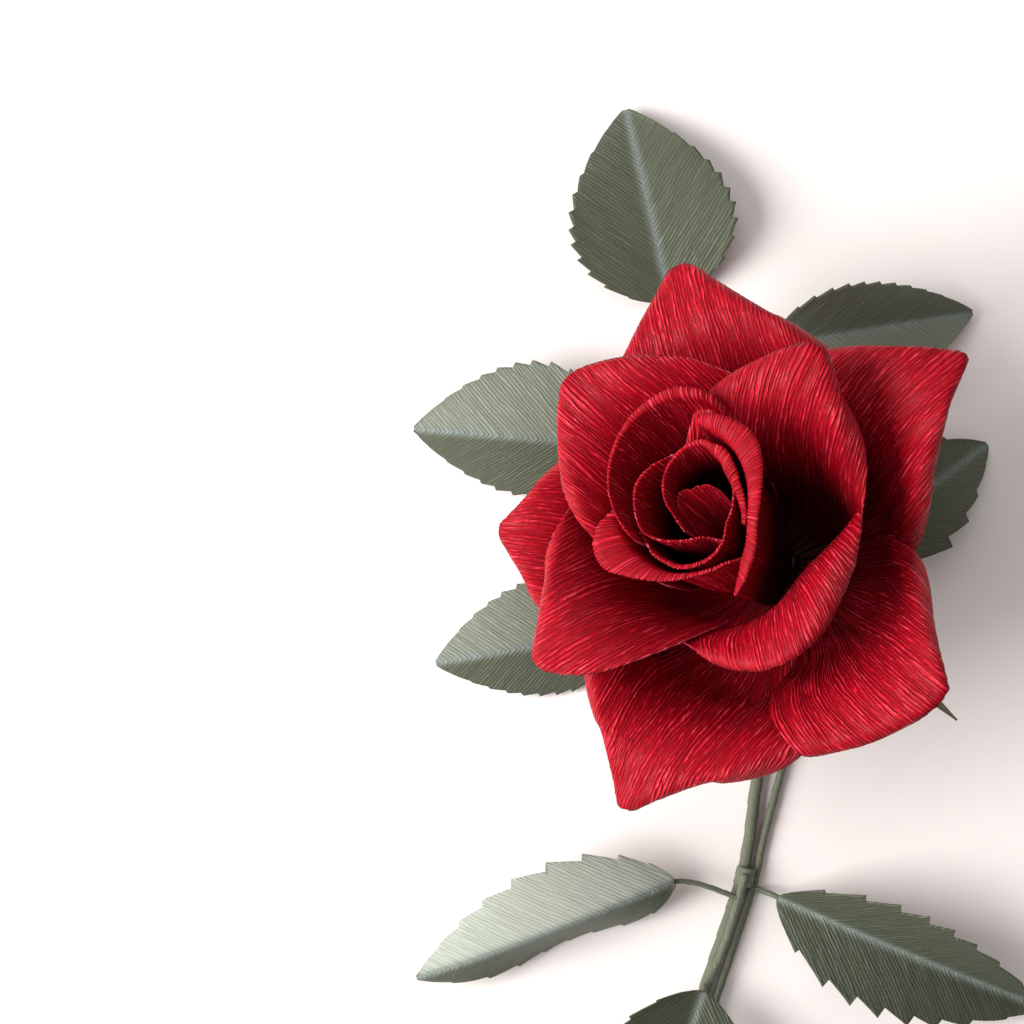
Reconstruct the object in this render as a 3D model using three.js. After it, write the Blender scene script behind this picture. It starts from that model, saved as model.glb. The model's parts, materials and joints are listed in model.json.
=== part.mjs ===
// A crepe paper rose: petals of stretched crepe paper wound round a bud, five sepals, a taped hip and
// wire stem, and two compound leaves. It lies on a table with its neck bent, so the bloom looks up.
// Millimetres and degrees; +Z is up, the stem runs towards -Y, and the table is at z = 0.
import * as THREE from "three";

// Paper, wire and tape
const PETAL_PAPER = 0.6; // two layers of crepe, glued
const LEAF_PAPER = 0.6;
const SEPAL_PAPER = 0.5;
const GAP = 0.3; // left between pieces that touch
const WIRE_RADIUS = 0.7;
const TAPE_RADIUS = 1.35; // of the stem, over its tape
const RACHIS_RADIUS = 0.9;
const LEAF_WIRE_RADIUS = 0.45;

// The bloom's own axis and where its base is
const BLOOM_BASE = new THREE.Vector3(49, -9, 30);
const BLOOM_TILT = 18; // from upright
const BLOOM_LEAN_TOWARDS = 150; // azimuth of the lean
const HIP_TOP = -14.8; // heights along the bloom's axis
const HIP_BOTTOM = -20.5;
const CORE_BOTTOM = 1.8;
const CORE_TOP = 14;

// How finely the surfaces are divided
const WOUND_GRID = [12, 7]; // columns and rows of a petal that wraps far round
const OPEN_GRID = [8, 11]; // of one that spreads out and rolls back
const SEPAL_GRID = [4, 8];
const STEM_STEPS = 44; // along the stem
const LEAF_WIRE_STEPS = 8;
const TUBE_HALF_SIDES = 4; // a tube has twice as many

// Each layer of petals stands on one section, a line of [radius, height] points from base to rim.
// Its petals follow a spiral: they move outwards by the pitch, in mm, for each radian round the axis.
const LAYERS = {
  bud: {
    pitch: 0.21,
    grid: WOUND_GRID,
    section: [[2.6, 3], [4.0, 5], [4.6, 11], [4.3, 18], [3.6, 24], [2.6, 28]],
  },
  heart: {
    pitch: 0.32,
    grid: WOUND_GRID,
    section: [[2.8, 1.5], [5.5, 4], [6.8, 11], [7, 19], [6.6, 27], [7.2, 33]],
  },
  inner: {
    pitch: 0.6,
    grid: WOUND_GRID,
    section: [[3, 0], [6.8, 2], [9.4, 9], [10.2, 18], [10, 27], [11.2, 34.5]],
  },
  cup: {
    pitch: 0.66,
    grid: WOUND_GRID,
    section: [[3.2, -2], [9, -0.5], [13.2, 7], [15, 18], [15.4, 29], [17, 37.5]],
  },
  middle: {
    pitch: 1.8,
    grid: OPEN_GRID,
    section: [[3.4, -4.5], [11, -3.5], [17, 4], [20, 16], [24, 27], [31, 34], [39, 35]],
  },
  outer: {
    pitch: 0,
    grid: OPEN_GRID,
    section: [[3.6, -7], [13, -6.5], [21, 0], [26, 9], [33, 18], [43, 22.5], [54, 20]],
  },
  sepal: {
    pitch: 0,
    grid: SEPAL_GRID,
    section: [[5.6, -15.4], [10, -15.4], [22, -12], [36, -9], [54, -9]],
  },
};

// Petals: azimuth of the middle, half width, length as a share of the section, height of the outline's
// shoulders as a share of the length, how far out the petal stands from its section, and where its two
// rolled edges leave its sides, clockwise side first, as shares of the length.
const PETALS = [
  { name: "bud_petal_1", layer: "bud", azimuth: 250, half: 8, length: 0.95, shoulder: 0.8, neck: 0.5 },
  { name: "bud_petal_2", layer: "bud", azimuth: 70, half: 8, length: 0.85, shoulder: 0.8, neck: 0.5 },
  { name: "heart_petal", layer: "heart", azimuth: 155, half: 11.5, length: 0.97, shoulder: 0.55 },
  { name: "inner_petal_1", layer: "inner", azimuth: 207, half: 15, length: 0.88, shoulder: 0.5 },
  { name: "inner_petal_2", layer: "inner", azimuth: 308, half: 10, length: 0.98, shoulder: 0.5 },
  { name: "inner_petal_3", layer: "inner", azimuth: 70, half: 12, length: 0.98, shoulder: 0.5 },
  { name: "cup_petal_1", layer: "cup", azimuth: 134, half: 21, shoulder: 0.5 },
  { name: "cup_petal_2", layer: "cup", azimuth: 248, half: 18.5, length: 0.93, shoulder: 0.5 },
  { name: "cup_petal_3", layer: "cup", azimuth: 12, half: 20, shoulder: 0.5 },
  { name: "middle_petal_1", layer: "middle", azimuth: 137, half: 20, rolls: [0.68, 0.62] },
  { name: "middle_petal_2", layer: "middle", azimuth: 62, half: 22, length: 0.95, rolls: [0.52, 0.68] },
  { name: "middle_petal_3", layer: "middle", azimuth: 299, half: 22, length: 0.8, rolls: [0.6, 0.55] },
  { name: "middle_petal_4", layer: "middle", azimuth: 215, half: 20, rolls: [0.62, 0.66] },
  { name: "outer_petal_1", layer: "outer", azimuth: 99, half: 19, standOff: 3.4, rolls: [0.6, 0.6] },
  { name: "outer_petal_2", layer: "outer", azimuth: 36, half: 19, standOff: 1.7, rolls: [0.55, 0.6] },
  { name: "outer_petal_3", layer: "outer", azimuth: 320, half: 23, length: 0.9, rolls: [0.64, 0.55] },
  { name: "outer_petal_4", layer: "outer", azimuth: 248, half: 19, standOff: 6.8, rolls: [0.5, 0.6] },
  { name: "outer_petal_5", layer: "outer", azimuth: 182, half: 19, length: 0.9, standOff: 5, rolls: [0.6, 0.7] },
];
const SHOULDER = 0.45; // of the spread petals
const OUTLINE_POWER = 2.3; // of the superellipse that the rim follows
const NECK = 0.14; // width at the base as a share of the full width
const ROLL_RADIUS = 5;

// Sepals: azimuth and length
const SEPALS = [[95, 30], [32, 30], [321, 46], [253, 30], [184, 30]];
const SEPAL_HALF = 3.4;
const SEPAL_TIP = 0.1; // width of the point, as a share of the full width

// Leaflets: ends of the midrib, half width, how steeply the left and right halves rise away from the
// midrib (or fall, below 0), seen from base to tip, and how high the midrib bows.
const LEAFLETS = [
  {
    name: "leaflet_top",
    base: [31.5, 42.1, 2.4],
    tip: [22.7, 80.5, 2],
    half: 17.3, slopes: [8, 10], bow: 3,
  },
  {
    name: "leaflet_upper_left",
    base: [20.7, 13.1, 9],
    tip: [-19.5, 16.5, 6],
    half: 15.8, slopes: [-42, -6], bow: 4,
  },
  {
    name: "leaflet_upper_right",
    base: [51.5, 33.2, 2.4],
    tip: [92.2, 40, 2],
    half: 14, slopes: [50, 8], bow: 3,
  },
  {
    name: "leaflet_lower_right",
    base: [62.4, -9.7, 2.4],
    tip: [95.2, 13.5, 2],
    half: 14, slopes: [10, 24], bow: 3,
  },
  {
    name: "leaflet_lower_left",
    base: [23.7, -22.7, 6.5],
    tip: [-15.1, -30.2, 5],
    half: 13.5, slopes: [-35, -10], bow: 3,
  },
  {
    name: "leaflet_side_left",
    base: [32.2, -73.4, 8],
    tip: [-18.9, -92.8, 6],
    half: 13, slopes: [-55, -5], bow: 5,
  },
  {
    name: "leaflet_side_right",
    base: [53.2, -77, 4.2],
    tip: [106, -99, 2],
    half: 14.5, slopes: [50, 12], bow: 5,
  },
  {
    name: "leaflet_end",
    base: [37.8, -95.2, 8],
    tip: [19, -146, 6.4],
    half: 18, slopes: [10, 16], bow: 4,
  },
];
const LEAF_FULLNESS = [0.85, 0.9]; // powers that place and round the widest part
const LEAF_FOOT = 0.05; // width at the ends, as a share of the full width
const LEAF_TEETH = 8; // on each side
const TOOTH_DEPTH = 0.09; // as a share of the half width
const WIRE_REACH = 0.86; // how far along the midrib a leaflet's wire goes

// Wires, by hand-set points: the stem past its bend, and each leaf's rachis beside it
const STEM_POINTS = [
  [55.4, -14.5, 7.2],
  [55.9, -21, 2.9],
  [54.4, -31, 1.45],
  [49.6, -50.9, 1.35],
  [47.5, -66, 1.35],
  [45.9, -73.6, 1.35],
  [42.9, -83.1, 1.35],
  [38.8, -95.2, 1.35],
  [31, -120, 1.35],
  [24, -148, 1.35],
  [20, -176, 1.35],
];
const WIRE_SHOWS = 3; // of the wire past the tape's end
const UPPER_RACHIS = [
  [39.6, -101.8, 0.9],
  [41.5, -95.9, 0.9],
  [45.6, -83.9, 0.9],
  [48.6, -74.3, 0.9],
  [50.2, -66.6, 0.9],
  [51.9, -60, 0.9],
  [54.4, -51, 0.9],
  [59, -38, 0.9],
  [60.9, -30, 0.9],
  [60.5, -22, 0.9],
  [56.5, -11, 0.9],
  [47, 0, 0.9],
  [38.5, 14, 0.9],
  [34.5, 27, 0.9],
  [32, 38, 1.1],
];
const LOWER_RACHIS = [
  [46.6, -72.3, 3.95],
  [44.6, -79.5, 3.95],
  [42, -87.5, 4.1],
  [39.8, -92, 5],
  [38.3, -94.4, 6.4],
];

const MATERIALS = {
  petal: new THREE.MeshStandardMaterial({ color: 0xad0f27, roughness: 0.75 }),
  leaf: new THREE.MeshStandardMaterial({ color: 0x4f5a45, roughness: 0.85 }),
  tape: new THREE.MeshStandardMaterial({ color: 0x5d6b4c, roughness: 0.6 }),
  wire: new THREE.MeshStandardMaterial({ color: 0x8f9398, roughness: 0.35, metalness: 1 }),
  core: new THREE.MeshStandardMaterial({ color: 0xe8e2d6, roughness: 0.9 }),
};

const radians = THREE.MathUtils.degToRad;
const vector = (p) => new THREE.Vector3(...p);

function named(name, geometry, material) {
  const mesh = new THREE.Mesh(geometry, material);
  mesh.name = name;
  return mesh;
}

// A sheet of paper as a closed shell: surface(u, v) gives its middle, u from -1 to 1 and v from 0 to 1,
// and both faces lie half the thickness away from it along its normal.
function sheet(surface, columns, rows, thickness) {
  const middle = [];
  for (let j = 0; j <= rows; j++)
    for (let i = 0; i <= columns; i++) middle.push(surface((2 * i) / columns - 1, j / rows));
  const at = (i, j) => j * (columns + 1) + i;
  const count = middle.length;
  const positions = new Float32Array(count * 6);
  for (let j = 0; j <= rows; j++)
    for (let i = 0; i <= columns; i++) {
      const across = middle[at(Math.min(i + 1, columns), j)].clone().sub(middle[at(Math.max(i - 1, 0), j)]);
      const along = middle[at(i, Math.min(j + 1, rows))].clone().sub(middle[at(i, Math.max(j - 1, 0))]);
      const half = across.cross(along).setLength(thickness / 2);
      const k = at(i, j);
      middle[k].clone().add(half).toArray(positions, k * 3);
      middle[k].clone().sub(half).toArray(positions, (k + count) * 3);
    }
  const index = [];
  for (let j = 0; j < rows; j++)
    for (let i = 0; i < columns; i++) {
      const [a, b, c, d] = [at(i, j), at(i + 1, j), at(i + 1, j + 1), at(i, j + 1)];
      index.push(a, b, c, a, c, d);
      index.push(a + count, c + count, b + count, a + count, d + count, c + count);
    }
  const rim = [];
  for (let i = 0; i < columns; i++) rim.push(at(i, 0));
  for (let j = 0; j < rows; j++) rim.push(at(columns, j));
  for (let i = columns; i > 0; i--) rim.push(at(i, rows));
  for (let j = rows; j > 0; j--) rim.push(at(0, j));
  rim.forEach((a, k) => {
    const b = rim[(k + 1) % rim.length];
    index.push(a + count, b + count, b, a + count, b, a);
  });
  const geometry = new THREE.BufferGeometry();
  geometry.setAttribute("position", new THREE.BufferAttribute(positions, 3));
  geometry.setIndex(index);
  geometry.computeVertexNormals();
  return geometry;
}

// A round tube along points, or a pipe where a bore is given.
function tube(points, radius, steps, bore = 0) {
  const ring = new THREE.Shape().absarc(0, 0, radius, 0, 2 * Math.PI);
  if (bore) ring.holes.push(new THREE.Path().absarc(0, 0, bore, 0, 2 * Math.PI, true));
  return new THREE.ExtrudeGeometry(ring, {
    steps,
    curveSegments: TUBE_HALF_SIDES,
    bevelEnabled: false,
    extrudePath: new THREE.CatmullRomCurve3(points),
  });
}

// Carries a flat point, x across and y from the base, on to a layer's section, stand-off mm outside it.
function onLayer(layer, azimuth, x, y, standOff) {
  const { curve, pitch } = layer;
  const length = curve.getLength();
  const share = THREE.MathUtils.clamp(y / length, 0, 1);
  const point = curve.getPointAt(share);
  const along = curve.getTangentAt(share);
  point.addScaledVector(along, y - share * length);
  const turn = x / point.x;
  const out = standOff - pitch * turn;
  const radius = point.x + out * along.y;
  const angle = radians(azimuth) + turn;
  return new THREE.Vector3(radius * Math.cos(angle), radius * Math.sin(angle), point.y - out * along.x);
}

// Rolls the corner beyond the line from the side to the tip back round a cylinder.
function rollCorner(flat, side, halfWidth, length, start) {
  const foot = new THREE.Vector2(side * halfWidth, start * length);
  const line = new THREE.Vector2(0, length).sub(foot).normalize();
  const outward = new THREE.Vector2(side * line.y, -side * line.x);
  const offset = new THREE.Vector2(flat.x, flat.y).sub(foot);
  const beyond = offset.dot(outward);
  if (beyond <= 0) return;
  const turn = beyond / ROLL_RADIUS;
  const kept = foot.addScaledVector(line, offset.dot(line));
  kept.addScaledVector(outward, ROLL_RADIUS * Math.sin(turn));
  flat.set(kept.x, kept.y, flat.z + ROLL_RADIUS * (1 - Math.cos(turn)));
}

function petal(form) {
  const { name, layer, azimuth, half } = form;
  const { length = 1, shoulder = SHOULDER, neck = NECK, standOff = 0, rolls = [] } = form;
  const full = length * LAYERS[layer].curve.getLength();
  const surface = (column, v) => {
    const u = Math.sin((Math.PI / 2) * column); // columns crowd towards the sides, where the rim is steep
    const rim = Math.max(0, 1 - Math.abs(u) ** OUTLINE_POWER) ** (1 / OUTLINE_POWER);
    const top = shoulder + (1 - shoulder) * rim;
    const spread = neck + (1 - neck) * Math.sin((Math.PI / 2) * Math.min(1, 2 * v * top));
    const flat = new THREE.Vector3(u * half * spread, v * top * full, 0);
    rolls.forEach((start, k) => rollCorner(flat, 2 * k - 1, half, full, start));
    return onLayer(LAYERS[layer], azimuth, flat.x, flat.y, standOff + flat.z);
  };
  return named(name, sheet(surface, ...LAYERS[layer].grid, PETAL_PAPER), MATERIALS.petal);
}

function sepal([azimuth, length], k) {
  const surface = (u, v) => {
    const oval = Math.sin(Math.PI * (0.3 + 0.7 * v)) ** 1.3; // widest at v = 0.29
    const width = SEPAL_TIP + (1 - SEPAL_TIP) * oval;
    return onLayer(LAYERS.sepal, azimuth, u * SEPAL_HALF * width, v * length, 0);
  };
  return named("sepal_" + (k + 1), sheet(surface, ...LAYERS.sepal.grid, SEPAL_PAPER), MATERIALS.leaf);
}

// A leaflet's middle surface: pointed oval outline with saw teeth, each half sloping from the midrib.
function leafletSurface({ base, tip, half, slopes, bow }) {
  const start = vector(base);
  const along = vector(tip).sub(start);
  const across = new THREE.Vector3(along.y, -along.x, 0).normalize();
  return (u, v) => {
    const tooth = 1 - TOOTH_DEPTH * (1 - Math.abs(((v * LEAF_TEETH * 2 + 1) % 2) - 1)) * Math.abs(u) ** 3;
    const oval = Math.sin(Math.PI * v ** LEAF_FULLNESS[0]) ** LEAF_FULLNESS[1];
    const width = (LEAF_FOOT + (1 - LEAF_FOOT) * oval) * (v < 1 ? 1 : 0.5);
    const x = u * half * width * tooth;
    const slope = radians(slopes[u < 0 ? 0 : 1]);
    const point = start.clone().addScaledVector(along, v).addScaledVector(across, x * Math.cos(slope));
    point.z += Math.abs(x) * Math.sin(slope) + 4 * bow * v * (1 - v);
    return point;
  };
}

function leaflet(form) {
  const geometry = sheet(leafletSurface(form), 4, 2 * LEAF_TEETH, LEAF_PAPER);
  return named(form.name, geometry, MATERIALS.leaf);
}

// The taped wire under a leaflet's midrib, from its rachis to near the tip.
function leafletWire(form, nodes) {
  const surface = leafletSurface(form);
  const steepest = Math.max(...form.slopes.map((slope) => Math.abs(radians(slope))));
  const drop = (LEAF_PAPER / 2 + LEAF_WIRE_RADIUS + GAP) / Math.cos(steepest);
  const points = [0, 0.3, 0.6, WIRE_REACH].map((v) => surface(0, v).add(new THREE.Vector3(0, 0, -drop)));
  const foot = vector(form.base);
  const node = nodes.reduce((a, b) => (b.distanceTo(foot) < a.distanceTo(foot) ? b : a)).clone();
  const away = points[0].clone().sub(node);
  const clear = RACHIS_RADIUS + LEAF_WIRE_RADIUS + GAP;
  if (away.length() > 2 * clear) points.unshift(node.addScaledVector(away.normalize(), clear));
  return named(form.name + "_wire", tube(points, LEAF_WIRE_RADIUS, LEAF_WIRE_STEPS), MATERIALS.tape);
}

// The receptacle under the petals, wound with tape, bored for the wire.
function hipWrap() {
  const bore = WIRE_RADIUS + GAP;
  const outside = [[2.6, HIP_BOTTOM], [4.4, -18], [4.8, -15.6], [4.2, HIP_TOP]];
  const profile = [[bore, HIP_BOTTOM], ...outside, [bore, HIP_TOP]];
  const points = [...profile, profile[0]].map(([r, h]) => new THREE.Vector2(r, h));
  const lathe = new THREE.LatheGeometry(points, 24).rotateX(Math.PI / 2);
  return named("hip_wrap", lathe, MATERIALS.tape);
}

// The cotton bud that the first petals are wound on.
function budCore() {
  const profile = [[0, CORE_BOTTOM], [1.4, 3], [2.4, 7], [2.4, 10], [1.4, 13], [0, CORE_TOP]];
  const points = profile.map(([r, h]) => new THREE.Vector2(r, h));
  return named("bud_core", new THREE.LatheGeometry(points, 16).rotateX(Math.PI / 2), MATERIALS.core);
}

function bloom() {
  const group = new THREE.Group();
  const lean = radians(BLOOM_LEAN_TOWARDS);
  group.position.copy(BLOOM_BASE);
  const level = new THREE.Vector3(-Math.sin(lean), Math.cos(lean), 0);
  group.quaternion.setFromAxisAngle(level, radians(BLOOM_TILT));
  group.add(budCore(), ...PETALS.map(petal), ...SEPALS.map(sepal), hipWrap());
  return group;
}

function stem(bloomGroup) {
  bloomGroup.updateMatrixWorld(true);
  const onAxis = (h) => new THREE.Vector3(0, 0, h).applyMatrix4(bloomGroup.matrixWorld);
  const run = STEM_POINTS.map(vector);
  const tail = run.at(-1).clone().sub(run.at(-2)).setLength(WIRE_SHOWS);
  const end = run.at(-1).clone().add(tail);
  const wire = [onAxis(CORE_BOTTOM - 2 * GAP), onAxis(-9), onAxis(HIP_BOTTOM - GAP), ...run, end];
  const tape = [onAxis(HIP_BOTTOM - 3 * GAP), ...run];
  return [
    named("stem_wire", tube(wire, WIRE_RADIUS, STEM_STEPS), MATERIALS.wire),
    named("stem_tape", tube(tape, TAPE_RADIUS, STEM_STEPS, WIRE_RADIUS + GAP), MATERIALS.tape),
  ];
}

function leaf(name, rachisPoints, forms) {
  const rachis = rachisPoints.map(vector);
  const nodes = [...UPPER_RACHIS, ...rachisPoints].map(vector);
  return [
    named(name + "_rachis", tube(rachis, RACHIS_RADIUS, 3 * rachis.length), MATERIALS.tape),
    ...forms.map(leaflet),
    ...forms.map((form) => leafletWire(form, nodes)),
  ];
}

const rose = new THREE.Group();
for (const layer of Object.values(LAYERS))
  layer.curve = new THREE.SplineCurve(layer.section.map(([r, h]) => new THREE.Vector2(r, h)));
const head = bloom();
rose.add(head, ...stem(head));
rose.add(...leaf("upper_leaf", UPPER_RACHIS, LEAFLETS.slice(0, 5)));
rose.add(...leaf("lower_leaf", LOWER_RACHIS, LEAFLETS.slice(5)));

// The origin is under the middle of the whole rose, on the table.
const extent = new THREE.Box3().setFromObject(rose, true);
rose.position.set(-(extent.min.x + extent.max.x) / 2, -(extent.min.y + extent.max.y) / 2, -extent.min.z);

export default rose;
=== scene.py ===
"""Dresses a crepe paper rose: crepe petals wound round a cotton bud, serrated leaves and taped wires.

The rose lies on a pale table with its neck bent, and the camera looks straight down into the bloom.
Lengths are in millimetres and angles in degrees until a mesh is made, which is in metres.
"""

import json
import logging
import math
from dataclasses import dataclass
from enum import Enum

import bpy
import numpy as np
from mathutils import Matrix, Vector
from numpy.typing import NDArray


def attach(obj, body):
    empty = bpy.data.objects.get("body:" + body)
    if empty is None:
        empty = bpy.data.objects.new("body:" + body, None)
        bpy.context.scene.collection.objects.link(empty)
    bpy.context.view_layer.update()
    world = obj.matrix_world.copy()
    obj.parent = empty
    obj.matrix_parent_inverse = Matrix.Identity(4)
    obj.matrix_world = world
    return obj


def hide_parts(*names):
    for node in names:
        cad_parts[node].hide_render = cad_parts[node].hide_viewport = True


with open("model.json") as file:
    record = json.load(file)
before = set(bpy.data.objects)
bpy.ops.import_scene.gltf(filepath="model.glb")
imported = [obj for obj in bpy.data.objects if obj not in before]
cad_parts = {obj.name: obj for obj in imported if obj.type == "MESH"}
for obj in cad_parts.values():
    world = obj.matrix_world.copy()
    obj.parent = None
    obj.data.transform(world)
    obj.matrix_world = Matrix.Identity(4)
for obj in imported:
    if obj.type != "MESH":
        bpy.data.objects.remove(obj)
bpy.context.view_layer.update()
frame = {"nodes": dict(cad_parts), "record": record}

Array = NDArray[np.float64]
Place = tuple[float, float, float]
Route = tuple[Place, ...]
LOG = logging.getLogger("rose")
METRES = 0.001  # in a millimetre
LATTICE = 512  # lines each way in a table of noise, after which it repeats
UP = np.array([0.0, 0.0, 1.0])
SIDEWAYS = np.array([1.0, 0.0, 0.0])


class Slot(Enum):
    """What each piece is made of, by the record's own names."""

    PETAL = "petal_crepe"
    LEAF = "leaf_crepe"
    SEPAL = "sepal_crepe"
    TAPE = "green_tape"


# ---------------------------------------------------------------- numbers and meshes


def smooth_line(points: Array, samples: int) -> Array:
    """A Catmull-Rom line through the points, each end point counted twice.

    Args:
        points: knots x dimensions.
        samples: how many points the line gets.

    Returns:
        samples x dimensions.
    """
    last = len(points) - 1
    place = np.linspace(0, last, samples)
    knot = np.minimum(place.astype(int), last - 1)
    t = (place - knot)[:, None]
    before = points[np.maximum(knot - 1, 0)]
    start, end = points[knot], points[knot + 1]
    after = points[np.minimum(knot + 2, last)]
    leave, arrive = (end - before) / 2, (after - start) / 2
    cubic = 2 * start - 2 * end + leave + arrive
    square = 3 * (end - start) - 2 * leave - arrive
    return cubic * t**3 + square * t**2 + leave * t + start


def reach_along(points: Array) -> Array:
    """How far along a line each of its points is, by the straight steps between them."""
    return np.concatenate([[0], np.cumsum(np.linalg.norm(np.diff(points, axis=0), axis=1))])


def even_line(points: Array, samples: int) -> Array:
    """The smooth line through the points, with its samples the same distance apart.

    Args:
        points: knots x dimensions.
        samples: how many points the line gets.

    Returns:
        samples x dimensions.
    """
    dense = smooth_line(points, 40 * len(points))
    reached = reach_along(dense)
    wanted = np.linspace(0, reached[-1], samples)
    return np.stack([np.interp(wanted, reached, column) for column in dense.T], axis=-1)


def streaks(across: Array, along: Array, spacing: float, run: float, seed: int) -> Array:
    """Smooth noise from 0 to 1 that is drawn out along one direction.

    Random numbers sit on a lattice, spacing apart across and run apart along, and each lattice line
    starts at its own place, so that no two streaks end level. Between them it eases from one to the
    next by 3t^2 - 2t^3.

    Args:
        across: the coordinate that the streaks lie side by side in.
        along: the coordinate that they run in.
        spacing: from one streak to the next.
        run: how long a streak keeps its height.
        seed: of the random numbers.

    Returns:
        the noise, in the shape of the coordinates.
    """
    draw = np.random.default_rng(seed)
    size = LATTICE
    table = draw.random((size, size))
    start = draw.random(size)
    place = across / spacing + size
    line = np.floor(place).astype(int)
    ease = place - line
    ease = ease * ease * (3 - 2 * ease)

    def on_line(number: Array) -> Array:
        """The noise along a lattice line.

        Args:
            number: of the line, at each coordinate.

        Returns:
            the noise there, from 0 to 1.
        """
        step = along / run + size + start[number % size]
        low = np.floor(step).astype(int)
        part = step - low
        part = part * part * (3 - 2 * part)
        rows = table[number % size, low % size]
        return rows + (table[number % size, (low + 1) % size] - rows) * part

    return on_line(line) * (1 - ease) + on_line(line + 1) * ease


def grid_corners(rows: int, columns: int) -> tuple[NDArray[np.int64], NDArray[np.int64]]:
    """The row and column numbers of the four corners of each cell between grid lines.

    Args:
        rows: of grid points.
        columns: of grid points.

    Returns:
        the row numbers and the column numbers, each cells x 4.
    """
    row, column = np.meshgrid(np.arange(rows - 1), np.arange(columns - 1), indexing="ij")
    rows4 = np.stack([row, row, row + 1, row + 1], axis=-1).reshape(-1, 4)
    columns4 = np.stack([column, column + 1, column + 1, column], axis=-1).reshape(-1, 4)
    return rows4, columns4


def mesh_object(
    name: str,
    points: Array,
    paper: Array,
    values: dict[str, Array] | None = None,
    closed: bool = False,
) -> bpy.types.Object:
    """Puts a grid of points into a mesh object at the origin.

    Args:
        name: the piece's name.
        points: rows x columns x 3, in millimetres.
        paper: rows x columns x 2, the sheet's own coordinates, which become its UV map. A closed grid
            gives one more column than it has points.
        values: numbers for each point, as named attributes, each rows x columns.
        closed: whether the last column joins the first, with a fan over each end.

    Returns:
        the object, smooth shaded and linked to the scene.
    """
    rows, columns = points.shape[:2]
    rows4, columns4 = grid_corners(rows, columns + closed)
    faces = rows4 * columns + columns4 % columns
    vertices = points.reshape(-1, 3)
    polygons = faces.tolist()
    corner_uv = paper[rows4, columns4].reshape(-1, 2)
    if closed:
        ends = np.array([points[0].mean(axis=0), points[-1].mean(axis=0)])
        vertices = np.concatenate([vertices, ends])
        ring = np.arange(columns)
        after = (ring + 1) % columns
        first = np.stack([np.full(columns, rows * columns), after, ring], axis=-1)
        top = (rows - 1) * columns
        final = np.stack([np.full(columns, rows * columns + 1), top + ring, top + after], axis=-1)
        polygons += first.tolist() + final.tolist()
        fans = np.repeat(paper[[0, -1], 0], 3 * columns, axis=0)
        corner_uv = np.concatenate([corner_uv, fans])
    mesh = bpy.data.meshes.new(name)
    mesh.from_pydata((vertices * METRES).tolist(), [], polygons)
    mesh.uv_layers.new(name="paper").data.foreach_set("uv", corner_uv.ravel())
    for key, value in (values or {}).items():
        padded = np.zeros(len(vertices))
        padded[: rows * columns] = value.ravel()
        mesh.attributes.new(key, "FLOAT", "POINT").data.foreach_set("value", padded)
    mesh.polygons.foreach_set("use_smooth", np.ones(len(mesh.polygons), dtype=bool))
    mesh.update()
    made = bpy.data.objects.new(name, mesh)
    bpy.context.scene.collection.objects.link(made)
    return made


def thicken(sheet: bpy.types.Object, thickness: float) -> None:
    """Gives a sheet its paper thickness, half on each side, with the cut edge in its second material.

    Args:
        sheet: the object, whose second material is the edge's.
        thickness: in millimetres.
    """
    wall = sheet.modifiers.new("paper thickness", "SOLIDIFY")
    wall.thickness = thickness * METRES
    wall.offset = 0
    wall.use_even_offset = False
    wall.material_offset_rim = 1


def place_piece(
    piece: bpy.types.Object, slot: Slot, *materials: bpy.types.Material, node: str | None = None
) -> None:
    """Dresses a piece, puts it in place of its CAD node and reports it.

    Args:
        piece: the new object.
        slot: what it is made of; not used.
        materials: the material of its faces, and that of its cut edge if it has one.
        node: the CAD node that it stands for, or None for a piece that the CAD leaves out.
    """
    for material in materials:
        piece.data.materials.append(material)
    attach(piece, "root")
    if node:
        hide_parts(node)
    LOG.info("%s: %d faces", piece.name, len(piece.data.polygons))


# ---------------------------------------------------------------- shader groups


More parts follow.
